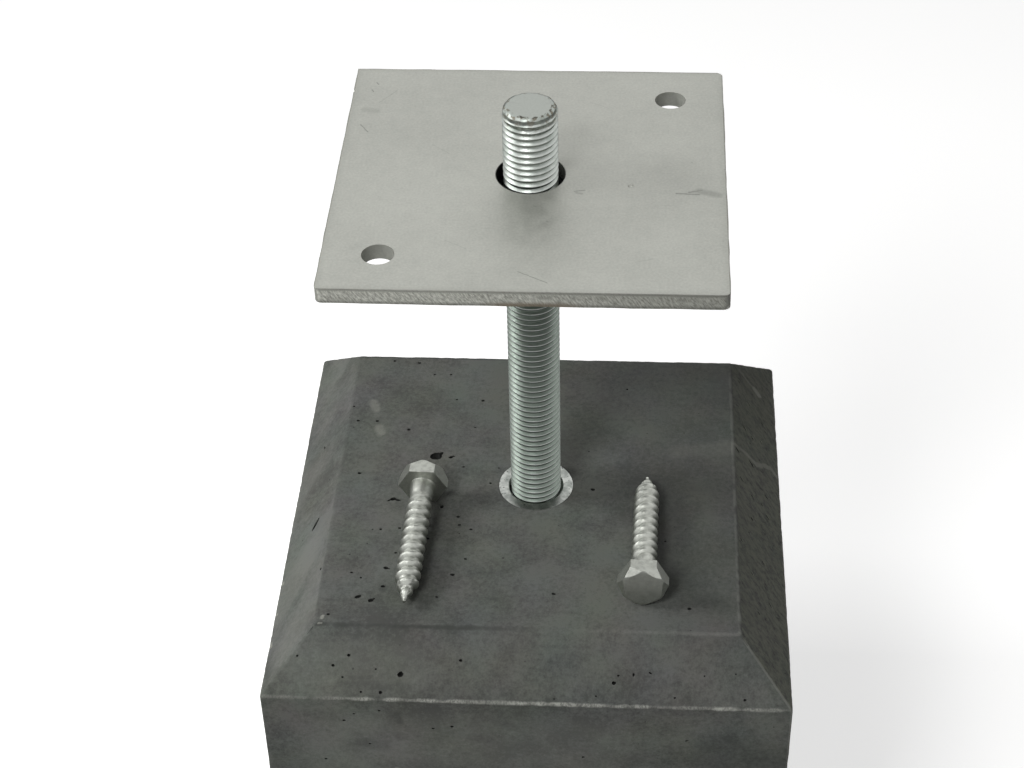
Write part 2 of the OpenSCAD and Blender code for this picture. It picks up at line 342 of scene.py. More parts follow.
def draw_line(name, points):
    """A chain of vertices through points, which are (radius, height)."""
    line = added(
        name, bpy.ops.mesh.primitive_plane_add, size=MM,
        location=(points[0][0], 0, points[0][1]))
    with editing(line, "VERT", "SELECT"):
        bpy.ops.mesh.merge(type="CENTER")
        for (r, z), (next_r, next_z) in zip(points, points[1:]):
            step = {"value": (next_r - r, 0, next_z - z)}
            bpy.ops.mesh.extrude_vertices_move(TRANSFORM_OT_translate=step)
    return line


def turned(name, points, steps):
    """A closed turned solid about the Z axis, from a profile of (radius, height)."""
    solid = draw_line(name, points)
    with editing(solid, "VERT", "SELECT"):
        bpy.ops.mesh.spin(steps=steps, angle=FULL_TURN, center=(0, 0, 0), axis=(0, 0, 1))
    tidy_mesh(solid)
    return solid


def wound(name, points, pitch, turns, steps):
    """A thread wound up the Z axis from the profile of one turn, closed at both ends."""
    thread = draw_line(name, points)
    apply_modifier(
        thread, "SCREW", angle=FULL_TURN, screw_offset=pitch, iterations=turns, steps=steps,
        render_steps=steps, axis="Z", use_merge_vertices=True, merge_threshold=MERGE_GAP)
    with editing(thread, "VERT", "SELECT"):
        bpy.ops.mesh.remove_doubles(threshold=MERGE_GAP)
        bpy.ops.mesh.select_all(action="DESELECT")
        bpy.ops.mesh.select_non_manifold()
        bpy.ops.mesh.fill_holes(sides=0)
        bpy.ops.mesh.select_all(action="SELECT")
        bpy.ops.mesh.normals_make_consistent(inside=False)
    return thread


def hexagon(name, across_flats, low, high):
    """An upright hexagonal prism."""
    return added(
        name, bpy.ops.mesh.primitive_cylinder_add, vertices=6,
        radius=across_flats / 2 / math.cos(math.pi / 6), depth=high - low,
        location=(0, 0, (low + high) / 2), rotation=(0, 0, math.pi / 6))


def bar_shaped(name, reach):
    """A rod along X a little thicker than the cross bar, at its height, to cut its bed."""
    return added(
        name, bpy.ops.mesh.primitive_cylinder_add, vertices=32, radius=BAR_HIGH.y + SLACK,
        depth=reach, location=(0, 0, BAR_LEVEL), rotation=(0, math.pi / 2, 0))


def soften(obj, width, segments, degrees):
    """Rounds the edges sharper than that angle."""
    apply_modifier(
        obj, "BEVEL", width=width, segments=segments, limit_method="ANGLE",
        angle_limit=math.radians(degrees))


def smooth(obj, degrees):
    """Smooth shading up to that angle, with flat faces kept flat up to their rounded rims."""
    activate(obj)
    bpy.ops.object.shade_smooth_by_angle(angle=math.radians(degrees))
    apply_modifier(obj, "WEIGHTED_NORMAL", keep_sharp=True)


def finish_piece(obj, node, body, material):
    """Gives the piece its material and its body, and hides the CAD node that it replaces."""
    obj.data.materials.clear()
    obj.data.materials.append(material)
    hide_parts(node)
    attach(obj, body)
    bpy.ops.object.select_all(action="DESELECT")


def noise_texture(name, size, **settings):
    """Cloudy noise for a Displace modifier, from 0 to 1."""
    texture = bpy.data.textures.new(name, "CLOUDS")
    texture.noise_scale = size
    texture.noise_depth = 2
    texture.use_clamp = True
    for key, value in settings.items():
        setattr(texture, key, value)
    return texture


# ---- Material helpers ----


COLOURS = {"output": 2, "data_type": "RGBA"}
SOFT = {"interpolation_type": "SMOOTHSTEP"}


def linear(colour):
    """An sRGB hex value, or three sRGB shares, as linear RGBA."""
    if isinstance(colour, str):
        colour = [int(colour[i:i + 2], 16) / 255 for i in (1, 3, 5)]
    rgb = [c / 12.92 if c <= 0.04045 else ((c + 0.055) / 1.055) ** 2.4 for c in colour]
    return (*rgb, 1.0)


def add_node(tree, kind, inputs=None, output=0, **settings):
    """Adds a node with its settings, fills or links its inputs, and returns one output."""
    node = tree.nodes.new("ShaderNode" + kind)
    for key, value in settings.items():
        setattr(node, key, value)
    for key, value in (inputs or {}).items():
        if isinstance(value, bpy.types.NodeSocket):
            tree.links.new(value, node.inputs[key])
        else:
            node.inputs[key].default_value = value
    return node.outputs[output] if len(node.outputs) else node


def emptied(owner):
    """The node tree of a new material or world, with nothing in it."""
    owner.use_nodes = True
    owner.node_tree.nodes.clear()
    return owner.node_tree


def new_material(name):
    """A material, its empty tree, what adds its nodes, and the place in its piece."""
    material = bpy.data.materials.new(name)
    tree = emptied(material)
    node = partial(add_node, tree)
    return material, tree, node, node("TexCoord", output=3)


def closed_with(material, colour, roughness, height, bump_mm, strength, metal=1.0):
    """The material, its tree ended in a Principled shader."""
    node = partial(add_node, material.node_tree)
    bump = node("Bump", {"Strength": strength, "Distance": bump_mm * MM, "Height": height})
    shader = node("BsdfPrincipled", {
        "Base Color": colour, "Roughness": roughness, "Metallic": metal, "Normal": bump})
    node("OutputMaterial", {"Surface": shader})
    return material


def shaded(colour, share):
    """A linear colour made that much lighter or darker."""
    return (*(c * share for c in colour[:3]), 1.0)


def total(tree, *parts):
    """The sum of values, each times its share."""
    amount = 0.0
    for value, share in parts:
        amount = add_node(
            tree, "Math", {0: value, 1: share, 2: amount}, operation="MULTIPLY_ADD")
    return amount


def product(tree, mask, *limits):
    """A mask, kept within other masks."""
    for limit in limits:
        mask = add_node(tree, "Math", {0: mask, 1: limit}, operation="MULTIPLY")
    return mask


def coated(tree, colour, *coats):
    """Colour under coats, each a mask and the sRGB colour that it brings."""
    for mask, coat in coats:
        colour = add_node(tree, "Mix", {0: mask, 6: colour, 7: linear(coat)}, **COLOURS)
    return colour


def shaken(tree, place, size_mm, reach_mm):
    """Place, pushed about by up to reach_mm, which roughens the outline of a pattern."""
    node = partial(add_node, tree)
    push = node("TexNoise", {"Vector": place, "Scale": 1000 / size_mm, "Detail": 3}, output=1)
    push = node("VectorMath", {0: push, 1: (0.5, 0.5, 0.5)}, operation="SUBTRACT")
    reach = (2 * reach_mm * MM,) * 3
    return node("VectorMath", {0: push, 1: reach, 2: place}, operation="MULTIPLY_ADD")


def drawn_out(tree, place, way, share):
    """Place with its change along way cut by share, which draws a pattern out that way."""
    node = partial(add_node, tree)
    way = Vector(way).normalized()
    along_way = node("VectorMath", {0: place, 1: way}, output=1, operation="DOT_PRODUCT")
    cut = node("Math", {0: along_way, 1: share}, operation="MULTIPLY")
    cut = node("VectorMath", {0: way, "Scale": cut}, operation="SCALE")
    return node("VectorMath", {0: place, 1: cut}, operation="SUBTRACT")


def strokes(tree, place, lines, level):
    """A mask of strokes, each from start to end in mm, with z from level."""
    node = partial(add_node, tree)
    mask = 0.0
    for start, end, wide, strength in lines:
        start, way = Vector(start) * MM, (Vector(end) - Vector(start)) * MM
        start.z += level
        out = node("VectorMath", {0: place, 1: start}, operation="SUBTRACT")
        share = node(
            "VectorMath", {0: out, 1: way / way.length_squared}, output=1,
            operation="DOT_PRODUCT")
        share = node("Math", {0: share, 1: 1.0}, operation="MULTIPLY", use_clamp=True)
        foot = node("VectorMath", {0: way, "Scale": share}, operation="SCALE")
        gap = node("VectorMath", {0: out, 1: foot}, output=1, operation="DISTANCE")
        stroke = node(
            "MapRange", {0: gap, 1: 0.15 * wide * MM, 2: 0.5 * wide * MM, 3: strength, 4: 0.0},
            **SOFT)
        mask = node("Math", {0: mask, 1: stroke}, operation="MAXIMUM")
    return mask


def plan_distances(tree, place):
    """How far a place is from the middle along X and along Y."""
    plan = add_node(tree, "VectorMath", {0: place}, operation="ABSOLUTE")
    return add_node(tree, "SeparateXYZ", {0: plan}).node.outputs[:2]


def skin_distances(tree, place, values):
    """How deep a point of the block is under its flat top, its bevels and its sides, and how
    much further out it is to the left or right than to the front or back."""
    node = partial(add_node, tree)
    high = node("SeparateXYZ", {0: place}, output=2)
    x, y = plan_distances(tree, place)
    across = node("Math", {0: x, 1: y}, operation="MAXIMUM")
    under = node("Math", {0: BLOCK_HIGH.z, 1: high}, operation="SUBTRACT")
    inside = node("Math", {0: BLOCK_HIGH.x, 1: across}, operation="SUBTRACT")
    run, drop = values.bevel_run, values.bevel_drop
    slant = Vector((run, drop, -run * drop)) / math.hypot(run, drop)
    both = node("CombineXYZ", {0: under, 1: inside, 2: 1.0})
    sloped = node("VectorMath", {0: both, 1: slant}, output=1, operation="DOT_PRODUCT")
    aside = node("Math", {0: x, 1: y}, operation="SUBTRACT")
    return under, sloped, inside, aside


def concrete_material(values):
    """Dark grey concrete, cast against a smooth mould: matt, faintly clouded, with fine grit,
    air holes painted near black as their shade, oblique drag marks on its right with their pits
    painted dark as shade, pale bands on its left, pale wear on its arrises, a few scuffs, and
    broad painted light and painted shade on its top and front."""
    material, tree, node, place = new_material("Concrete cast in a smooth mould")
    base = linear(values.colour)
    wide = node("TexNoise", {"Vector": place, "Scale": 1000 / 60, "Detail": 3})
    patch = node(
        "TexNoise", {"Vector": place, "Scale": 1000 / 14, "Detail": 6, "Roughness": 0.62})
    grain = node(
        "TexNoise", {"Vector": place, "Scale": 1000 / 2, "Detail": 4, "Roughness": 0.7})
    grit = node("TexNoise", {"Vector": place, "Scale": 1000 / 0.7, "Detail": 2})
    tone = total(tree, (grit, 0.2), (grain, 0.45), (patch, 0.6), (wide, 0.45))
    tone = node("MapRange", {0: tone, 1: 0.735, 2: 0.965})
    colour = node(
        "Mix", {0: tone, 6: shaded(base, 0.66), 7: shaded(base, 1.36)}, **COLOURS)
    tint = node("TexNoise", {"Vector": place, "Scale": 1000 / 22, "Detail": 4}, output=1)
    colour = node(
        "Mix", {0: 0.1, 6: colour, 7: tint}, blend_type="OVERLAY", **COLOURS)
    # Pinholes under 1 mm, in about half of the cells of 7 mm, painted dark: painted shade inside
    # holes too small to model
    cells = node("TexVoronoi", {"Vector": place, "Scale": 1000 / 7}).node.outputs
    reach = node("Math", {0: cells["Color"], 1: 0.075}, operation="MULTIPLY")
    pin = node("Math", {0: reach, 1: cells["Distance"]}, operation="SUBTRACT")
    pin = node("MapRange", {0: pin, 1: 0.0, 2: 0.015, 3: 0.0, 4: 0.8}, **SOFT)
    # Drag marks on the right-hand bevel and side, pale bands on the left-hand ones
    under, sloped, inside, aside = skin_distances(tree, place, values)
    side = node("SeparateXYZ", {0: place}, output=0)
    flank = node("MapRange", {0: aside, 1: 0.0, 2: 0.4 * MM}, **SOFT)
    right = node("MapRange", {0: side, 1: 80.2 * MM, 2: 81 * MM}, **SOFT)
    right = product(tree, right, flank)
    left = node("MapRange", {0: side, 1: -80.2 * MM, 2: -81 * MM}, **SOFT)
    left = product(tree, left, flank)
    dragged = drawn_out(tree, shaken(tree, place, 6, 1.5), (0.59, -0.81, -0.57), 0.5)
    drag = node(
        "TexNoise", {"Vector": dragged, "Scale": 1000 / 2, "Detail": 5, "Roughness": 0.75})
    # Dark torn pits of the drag marks: painted shade in pits too small to model, with a bump dent
    torn = node("MapRange", {0: drag, 1: 0.4, 2: 0.35}, **SOFT)
    torn = product(tree, torn, right, 0.85)
    ridge = node("MapRange", {0: drag, 1: 0.38, 2: 0.6, 3: 0.1, 4: 0.75}, **SOFT)
    ridge = product(tree, ridge, right)
    banded = drawn_out(tree, place, (0.35, 0.85, 0.34), 0.7)
    band = node("TexNoise", {"Vector": banded, "Scale": 1000 / 18, "Detail": 2})
    band = node("MapRange", {0: band, 1: 0.46, 2: 0.62, 3: 0.0, 4: 0.3}, **SOFT)
    band = product(tree, band, left)
    # Wear: broken pale streaks on the shoulder, thin pale lines on the rim and the hips
    hip = node("Math", {0: aside}, operation="ABSOLUTE")
    streaked = drawn_out(tree, place, (0, 0, 1), 0.6)
    streak = node(
        "TexNoise", {"Vector": streaked, "Scale": 1000 / 0.7, "Detail": 4, "Roughness": 0.75})
    streak = node("MapRange", {0: streak, 1: 0.38, 2: 0.58, 3: 0.3, 4: 1.0}, **SOFT)
    where = node("TexNoise", {"Vector": place, "Scale": 1000 / 26, "Detail": 3})
    where = node("MapRange", {0: where, 1: 0.36, 2: 0.6, 3: 0.5, 4: 1.0}, **SOFT)
    more = node("MapRange", {0: side, 1: -82 * MM, 2: -56 * MM, 3: 0.3, 4: 1.0}, **SOFT)
    shoulder_gap = node("Math", {0: sloped, 1: inside}, operation="ADD")
    shoulder = node(
        "MapRange", {0: shoulder_gap, 1: 0.45 * MM, 2: 1.1 * MM, 3: 1.0, 4: 0.0}, **SOFT)
    shoulder = product(tree, shoulder, streak, where, more)
    rim_gap = node("Math", {0: under, 1: sloped}, operation="ADD")
    rim = node("MapRange", {0: rim_gap, 1: 0.4 * MM, 2: 1 * MM, 3: 1.0, 4: 0.0}, **SOFT)
    much = node("MapRange", {0: aside, 1: -1 * MM, 2: 1 * MM, 3: 0.2, 4: 0.5}, **SOFT)
    handed = node("MapRange", {0: side, 1: 0.0, 2: 80 * MM}, **SOFT)
    rim = product(tree, rim, handed, much)
    crease = node("MapRange", {0: rim_gap, 1: 0.5 * MM, 2: 1.3 * MM, 3: 0.85, 4: 0.0}, **SOFT)
    unhanded = node("MapRange", {0: side, 1: 20 * MM, 2: -30 * MM, 3: 0.0, 4: 1.0}, **SOFT)
    much = node("MapRange", {0: aside, 1: -1 * MM, 2: 1 * MM, 3: 1.0, 4: 0.3}, **SOFT)
    crease = product(tree, crease, unhanded, much)
    corner = node("MapRange", {0: hip, 1: 0.3 * MM, 2: 1 * MM, 3: 0.35, 4: 0.0}, **SOFT)
    below = node("MapRange", {0: under, 1: 1 * MM, 2: 2.5 * MM}, **SOFT)
    corner = product(tree, corner, below, handed)
    rim = node("Math", {0: rim, 1: corner}, operation="MAXIMUM")
    # Marks of handling, and broad strokes of painted light and painted shade on the top, the
    # front bevel and the front side
    pushed = shaken(tree, place, 3, 0.9)
    pale = strokes(tree, pushed, PALE_STROKES, BLOCK_HIGH.z)
    dark_marks_and_shade = strokes(tree, pushed, DARK_STROKES, BLOCK_HIGH.z)
    # Painted shade in the air holes: near black below the skin, kept clear of the arrises
    hole_shade = node("SeparateXYZ", {0: place}, output=2)
    for part in (under, sloped, inside):
        hole_shade = node("Math", {0: hole_shade, 1: part}, operation="MINIMUM")
    hole_shade = node("MapRange", {0: hole_shade, 1: 0.24 * MM, 2: 0.5 * MM, 3: 0.0, 4: 0.93}, **SOFT)
    clear = node("Math", {0: shoulder_gap, 1: rim_gap}, operation="MINIMUM")
    lift = node("MapRange", {0: under, 1: 2.5 * MM, 2: 3.5 * MM, 3: 5 * MM, 4: 0.0})
    lift = node("Math", {0: hip, 1: lift}, operation="ADD")
    clear = node("Math", {0: clear, 1: lift}, operation="MINIMUM")
    clear = node("MapRange", {0: clear, 1: 1.1 * MM, 2: 1.7 * MM}, **SOFT)
    hole_shade = product(tree, hole_shade, clear)
    colour = coated(
        tree, colour, (pin, "#1d1e1d"), (torn, "#232521"), (ridge, "#7c7e72"),
        (band, "#7d7e78"), (shoulder, "#b2b3ab"), (crease, "#383a37"), (rim, "#a0a19a"),
        (pale, "#9c9d94"), (dark_marks_and_shade, "#2f312f"), (hole_shade, "#101110"))
    rough = node("MapRange", {0: patch, 1: 0.3, 2: 0.7, 3: 0.74, 4: 0.9}, **SOFT)
    height = total(tree, (grit, 1.0), (grain, 0.8), (pin, -2.5), (torn, -2.0))
    return closed_with(material, colour, rough, height, 0.13, 0.6, 0.0)


def distance_from_axis(tree, place):
    """How far a place is from the rod's axis."""
    flat = add_node(tree, "VectorMath", {0: place, 1: (1, 1, 0)}, operation="MULTIPLY")
    return add_node(tree, "VectorMath", {0: flat}, output=1, operation="LENGTH")


def rod_material(values):
    """Bright zinc on rolled thread: painted highlights on the crests, painted shade in the roots
    and all along below the plate, and a grubby first turn, with grime in its roots, where the
    end was knocked about."""
    material, tree, node, place = new_material("Steel, zinc plated bright on rolled thread")
    out = distance_from_axis(tree, place)
    high = node("SeparateXYZ", {0: place}, output=2)
    stain = node("TexNoise", {"Vector": place, "Scale": 1000 / 6, "Detail": 4, "Roughness": 0.6})
    fleck = node("TexNoise", {"Vector": place, "Scale": 1000 / 1.6, "Detail": 3})
    fine = node("TexNoise", {"Vector": place, "Scale": 1000 / 0.8, "Detail": 2})
    # Darker and rougher below the plate: the darkening is painted shade under the plate
    shade_and_dull_below_plate = node("MapRange", {0: high, 1: ROD_HIGH.z - 28 * MM, 2: ROD_HIGH.z - 44 * MM}, **SOFT)
    colour = coated(tree, linear(values.zinc), (shade_and_dull_below_plate, "#8f9991"))
    # Painted shade in the roots of the thread, stronger below the plate, and a painted highlight
    # on the crests
    root_shade = node("MapRange", {0: out, 1: 9.9 * MM, 2: 9 * MM, 3: 0.0, 4: 0.5}, **SOFT)
    more = node("MapRange", {0: shade_and_dull_below_plate, 3: 0.7, 4: 1.0})
    root_shade = product(tree, root_shade, more)
    crest = node("MapRange", {0: out, 1: 9.8 * MM, 2: 9.93 * MM}, **SOFT)
    stained = node("MapRange", {0: stain, 1: 0.45, 2: 0.68, 3: 0.0, 4: 0.45}, **SOFT)
    # Dirt on the first turns, thickest in the grooves and on the broken chamfer
    knocked = node(
        "MapRange", {0: high, 1: ROD_HIGH.z - 8 * MM, 2: ROD_HIGH.z - 1 * MM}, **SOFT)
    patchy = node("MapRange", {0: fleck, 1: 0.47, 2: 0.62}, **SOFT)
    groove = node("MapRange", {0: out, 1: 9.9 * MM, 2: 8.9 * MM, 3: 0.4, 4: 1.0}, **SOFT)
    rimmed = node("MapRange", {0: out, 1: 7.2 * MM, 2: 8 * MM}, **SOFT)
    grime = product(tree, knocked, patchy, groove, rimmed)
    # The sawn end face, dull and pale, dark where it breaks off at its rim
    end = node(
        "MapRange", {0: high, 1: ROD_HIGH.z - 0.5 * MM, 2: ROD_HIGH.z - 0.25 * MM}, **SOFT)
    face = node("MapRange", {0: out, 1: 8.3 * MM, 2: 7.3 * MM}, **SOFT)
    face = product(tree, face, end)
    broken = node("MapRange", {0: out, 1: 7.4 * MM, 2: 7.8 * MM}, **SOFT)
    within = node("MapRange", {0: out, 1: 9 * MM, 2: 8.3 * MM}, **SOFT)
    front = node("VectorMath", {0: place, 1: (0.4, -0.9, 0)}, output=1, operation="DOT_PRODUCT")
    front = node("MapRange", {0: front, 1: -2 * MM, 2: 5 * MM, 3: 0.1, 4: 1.0}, **SOFT)
    broken = product(tree, broken, end, patchy, within, front)
    colour = coated(
        tree, colour, (root_shade, "#6b756c"), (crest, "#dde1de"), (stained, "#8d988f"),
        (grime, "#8a867a"), (face, "#afb3ad"), (broken, "#75736c"))
    rough = node("MapRange", {0: fine, 1: 0.3, 2: 0.7, 3: 0.28, 4: 0.4}, **SOFT)
    rough = total(
        tree, (rough, 1.0), (shade_and_dull_below_plate, 0.05), (face, 0.1), (grime, 0.3), (broken, 0.3))
    height = total(tree, (fine, 1.0), (grime, 1.5))
    return closed_with(material, colour, rough, height, 0.02, 0.4)


def socket_material():
    """Zinc plating worn dull on a turned steel socket: pale grey with turning rings, dark
    specks of cement, and dirt on the side that faces the front."""
    material, tree, node, place = new_material("Steel, turned, with worn zinc plating")
    patch = node("TexNoise", {"Vector": place, "Scale": 1000 / 5, "Detail": 5, "Roughness": 0.65})
    speck = node("TexNoise", {"Vector": place, "Scale": 1000 / 1.4, "Detail": 3})
    fine = node("TexNoise", {"Vector": place, "Scale": 1000 / 0.5, "Detail": 2})
    cover = node("MapRange", {0: patch, 1: 0.35, 2: 0.62}, **SOFT)
    colour = coated(tree, linear("#989d98"), (cover, "#c6c9c4"))
    front = node("SeparateXYZ", {0: place}, output=1)
    front = node("MapRange", {0: front, 1: -6 * MM, 2: -14 * MM, 3: 0.05, 4: 0.3}, **SOFT)
    dirt = node("MapRange", {0: patch, 1: 0.62, 2: 0.4}, **SOFT)
    dirt = product(tree, dirt, front)
    dots = node("MapRange", {0: speck, 1: 0.62, 2: 0.7, 3: 0.0, 4: 0.75}, **SOFT)
    colour = coated(tree, colour, (dirt, "#757873"), (dots, "#343735"))
    out = distance_from_axis(tree, place)
    rings = node("TexNoise", {"W": out, "Scale": 1000 / 0.6, "Detail": 1}, noise_dimensions="1D")
    height = total(tree, (fine, 1.0), (rings, 0.7))
    rough = node("MapRange", {0: patch, 1: 0.3, 2: 0.7, 3: 0.42, 4: 0.25}, **SOFT)
    return closed_with(material, colour, rough, height, 0.05, 0.5)


def nut_material(values):
    """Bright zinc on a pressed nut and washer: bluish, a little duller than the rod, and painted
    near black around the bore as painted shade, where the plate's hole looks down on them."""
    material, tree, node, place = new_material("Steel, zinc plated bright on pressed faces")
    stain = node("TexNoise", {"Vector": place, "Scale": 1000 / 8, "Detail": 4})
    fine = node("TexNoise", {"Vector": place, "Scale": 1000 / 0.7, "Detail": 2})
    cover = node("MapRange", {0: stain, 1: 0.35, 2: 0.65}, **SOFT)
    colour = coated(tree, linear("#a1a9a6"), (cover, values.zinc))
    out = distance_from_axis(tree, place)
    # Painted shade around the bore, where the plate's hole looks down on nut and washer
    nut_hole_shade = node("MapRange", {0: out, 1: 13 * MM, 2: 12.4 * MM}, **SOFT)
    colour = coated(tree, colour, (nut_hole_shade, "#1d1f22"))
    rough = node("MapRange", {0: stain, 1: 0.3, 2: 0.7, 3: 0.28, 4: 0.42}, **SOFT)
    return closed_with(material, colour, rough, fine, 0.04, 0.5)


def bar_material():
    """Hot-rolled steel bar, hidden in the concrete: dark scale with a dull shine."""
    material, tree, node, place = new_material("Steel, hot rolled")
    scale = node("TexNoise", {"Vector": place, "Scale": 1000 / 3, "Detail": 5})
    cover = node("MapRange", {0: scale, 1: 0.35, 2: 0.65}, **SOFT)
    colour = coated(tree, linear("#4d4e50"), (cover, "#6f6c69"))
    rough = node("MapRange", {0: scale, 1: 0.3, 2: 0.7, 3: 0.45, 4: 0.7}, **SOFT)
    return closed_with(material, colour, rough, scale, 0.05, 0.5)


def plate_material(values):
    """Steel sheet, dull zinc coating, sheared at its edges: an even silver grey with a soft
    sheen, small scratches and a smudge, painted shade in its middle hole and towards the right of
    its sheared rim. Chalky zinc oxide takes a third of its shine, and more of its sheared rim's."""
    material, tree, node, place = new_material("Steel sheet, galvanised dull, sheared edges")
    base = linear(values.zinc)
    wide = node("TexNoise", {"Vector": place, "Scale": 1000 / 45, "Detail": 3})
    patch = node("TexNoise", {"Vector": place, "Scale": 1000 / 5, "Detail": 5, "Roughness": 0.6})
    grain = node("TexNoise", {"Vector": place, "Scale": 1000 / 0.9, "Detail": 2})
    tone = total(tree, (grain, 0.35), (patch, 0.3), (wide, 0.35))
    tone = node("MapRange", {0: tone, 1: 0.36, 2: 0.64})
    colour = node(
        "Mix", {0: tone, 6: shaded(base, 0.86), 7: shaded(base, 1.12)}, **COLOURS)
    scratched = strokes(tree, shaken(tree, place, 2, 0.25), PLATE_STROKES, PLATE_HIGH.z)
    parts = node("SeparateXYZ", {0: place}).node.outputs
    x, y = plan_distances(tree, place)
    across = node("Math", {0: x, 1: y}, operation="MAXIMUM")
    # Faint darker roll-over beside the rim, then the sheared edge itself
    rolled = node(
        "MapRange", {0: across, 1: PLATE_HIGH.x - 3.5 * MM, 2: PLATE_HIGH.x, 3: 0.0, 4: 0.22},
        **SOFT)
    rolled = product(tree, rolled, patch)
    colour = coated(tree, colour, (scratched, "#6c6e68"), (rolled, "#6a6b64"))
    edge = node(
        "MapRange", {0: across, 1: PLATE_HIGH.x - 0.62 * MM, 2: PLATE_HIGH.x - 0.4 * MM}, **SOFT)
    slant = node(
        "VectorMath", {0: place, 1: (0.84, 0.84, 0.54)}, output=1, operation="DOT_PRODUCT")
    slow = node("Math", {0: parts[2], 1: 0.3}, operation="MULTIPLY")
    slanted = node("CombineXYZ", {0: slant, 1: slow})
    shear = node(
        "TexNoise", {"Vector": slanted, "Scale": 1000 / 0.6, "Detail": 4, "Roughness": 0.7})
    shear_tone = node("MapRange", {0: shear, 1: 0.32, 2: 0.68}, **SOFT)
    sheared = coated(tree, linear("#999a91"), (shear_tone, "#e4e5dc"))
    lip = node(
        "MapRange", {0: parts[2], 1: PLATE_HIGH.z - 1.1 * MM, 2: PLATE_HIGH.z - 0.5 * MM,
                     3: 0.0, 4: 0.7}, **SOFT)
    lip = product(tree, lip, shear_tone)
    foot = node(
        "MapRange", {0: parts[2], 1: PLATE_LOW.z + 1.6 * MM, 2: PLATE_LOW.z + 0.4 * MM,
                     3: 0.0, 4: 0.5}, **SOFT)
    shade = node("Math", {0: lip, 1: foot}, operation="MAXIMUM")
    rust = node("MapRange", {0: parts[0], 1: -16 * MM, 2: -4 * MM}, **SOFT)
    fade = node("MapRange", {0: parts[0], 1: 24 * MM, 2: 12 * MM, 3: 0.0, 4: 0.6}, **SOFT)
    low = node(
        "MapRange", {0: parts[2], 1: PLATE_LOW.z + 2.6 * MM, 2: PLATE_LOW.z + 0.6 * MM}, **SOFT)
    rust = product(tree, rust, fade, low)
    # Painted shade: the sheared rim darker towards the right, away from the light on the left
    dull = node("MapRange", {0: parts[0], 1: -40 * MM, 2: 70 * MM, 3: 0.0, 4: 0.4}, **SOFT)
    sheared = coated(tree, sheared, (shade, "#4f504a"), (rust, "#7d6a50"), (dull, "#66675f"))
    colour = node("Mix", {0: edge, 6: colour, 7: sheared}, **COLOURS)
    # Painted shade on the wall of the middle hole: near black on its left half, faint on its
    # right
    out = distance_from_axis(tree, place)
    bore = node("MapRange", {0: out, 1: 12.9 * MM, 2: 12.6 * MM}, **SOFT)
    left = node("MapRange", {0: parts[0], 1: 7 * MM, 2: 0.0, 3: 0.3, 4: 1.0}, **SOFT)
    bore = product(tree, bore, left)
    colour = coated(tree, colour, (bore, "#30322f"))
    rough = node("MapRange", {0: patch, 1: 0.3, 2: 0.7, 3: 0.38, 4: 0.48}, **SOFT)
    rough = total(tree, (rough, 1.0), (edge, 0.18))
    metal = node("Math", {0: edge, 1: -0.35, 2: 0.65}, operation="MULTIPLY_ADD")
    height = product(tree, edge, shear)
    height = total(tree, (grain, 1.0), (height, 2.4), (scratched, -1.5))
    return closed_with(material, colour, rough, height, 0.05, 0.4, metal)


def screw_material(values):
    """Hot-dip zinc on forged coach screws: lumpy pale grey with frosty bright spots."""
    material, tree, node, place = new_material("Steel, forged and hot-dip galvanised")
    lump = node("TexNoise", {"Vector": place, "Scale": 1000 / 2.2, "Detail": 4, "Roughness": 0.6})
    fine = node("TexNoise", {"Vector": place, "Scale": 1000 / 0.6, "Detail": 2})
    base = linear(values.zinc)
    cover = node("MapRange", {0: lump, 1: 0.36, 2: 0.6}, **SOFT)
    colour = node("Mix", {0: cover, 6: shaded(base, 0.84), 7: base}, **COLOURS)
    rough = node("MapRange", {0: lump, 1: 0.35, 2: 0.65, 3: 0.5, 4: 0.36}, **SOFT)
    height = total(tree, (lump, 1.0), (fine, 0.25))
    return closed_with(material, colour, rough, height, 0.09, 0.5)


# ---- Pieces ----


